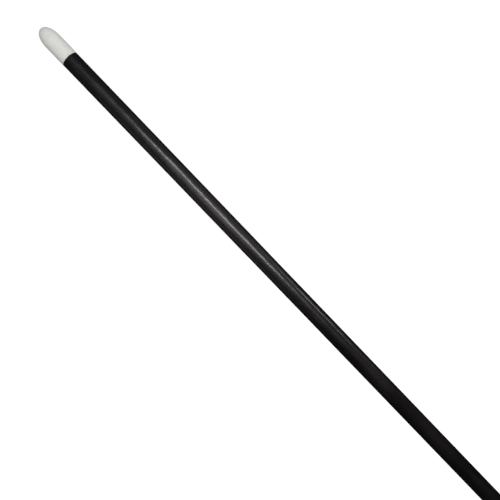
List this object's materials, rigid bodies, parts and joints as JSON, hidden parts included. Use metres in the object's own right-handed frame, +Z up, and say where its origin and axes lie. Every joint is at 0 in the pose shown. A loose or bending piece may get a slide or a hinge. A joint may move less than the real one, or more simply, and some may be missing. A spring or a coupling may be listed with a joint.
{
  "type": "roller extension pole",
  "caption": "Slim black telescopic pole with an external twist lock, a soft hand grip with a hanging hole at its foot, and a plain white round-nosed push-fit tip for a paint roller.",
  "frame": {"origin": "centre of the end cap's flat base, at the foot of the pole", "axes": "+Z up the pole to the tip, +X along the rivets and cross pins, +Y along the hanging hole, which goes through from -Y to +Y"},
  "size_m": [0.0396, 0.0396, 1.914],
  "materials": {
    "black_steel": "satin",
    "black_plastic": "satin",
    "soft_rubber": "matt",
    "white_plastic": "satin",
    "natural_plastic": "satin",
    "bare_steel": "brushed"
  },
  "bodies": {
    "outer_section": {"outer_tube": "black_steel", "lock_base": "black_plastic", "lock_base_rivets": "bare_steel", "top_bush": "natural_plastic", "grip_core": "black_plastic", "grip_skin": "soft_rubber", "end_cap": "black_plastic"},
    "clamp": {"collet": "natural_plastic", "thrust_ring": "bare_steel"},
    "twist_nut": {"lock_nut": "black_plastic", "nut_stop_ring": "bare_steel", "nut_band": "soft_rubber", "wiper_ring": "soft_rubber"},
    "guide": {"guide_ring": "natural_plastic"},
    "inner_section": {"inner_tube": "black_steel", "push_fit_tip": "white_plastic", "tip_pin": "bare_steel", "guide_plug": "natural_plastic", "guide_plug_pin": "bare_steel", "buffer": "soft_rubber"}
  },
  "joints": [
    {"name": "nut_rise", "type": "slide", "parent": "outer_section", "child": "clamp", "axis": [0, 0, 1], "range_m": [0, 0.0031]},
    {"name": "nut_twist", "type": "hinge", "parent": "clamp", "child": "twist_nut", "pos_m": [0, 0, 1.012], "axis": [0, 0, 1], "range_deg": [0, 180]},
    {"name": "inner_slide", "type": "slide", "parent": "outer_section", "child": "guide", "axis": [0, 0, 1], "range_m": [-0.824, 0]},
    {"name": "inner_turn", "type": "hinge", "parent": "guide", "child": "inner_section", "pos_m": [0, 0, 0.906], "axis": [0, 0, 1], "continuous": true}
  ],
  "couplings": [
    {"joint": "nut_rise", "follows": "nut_twist", "m_per_rad": 0.00095493}
  ]
}
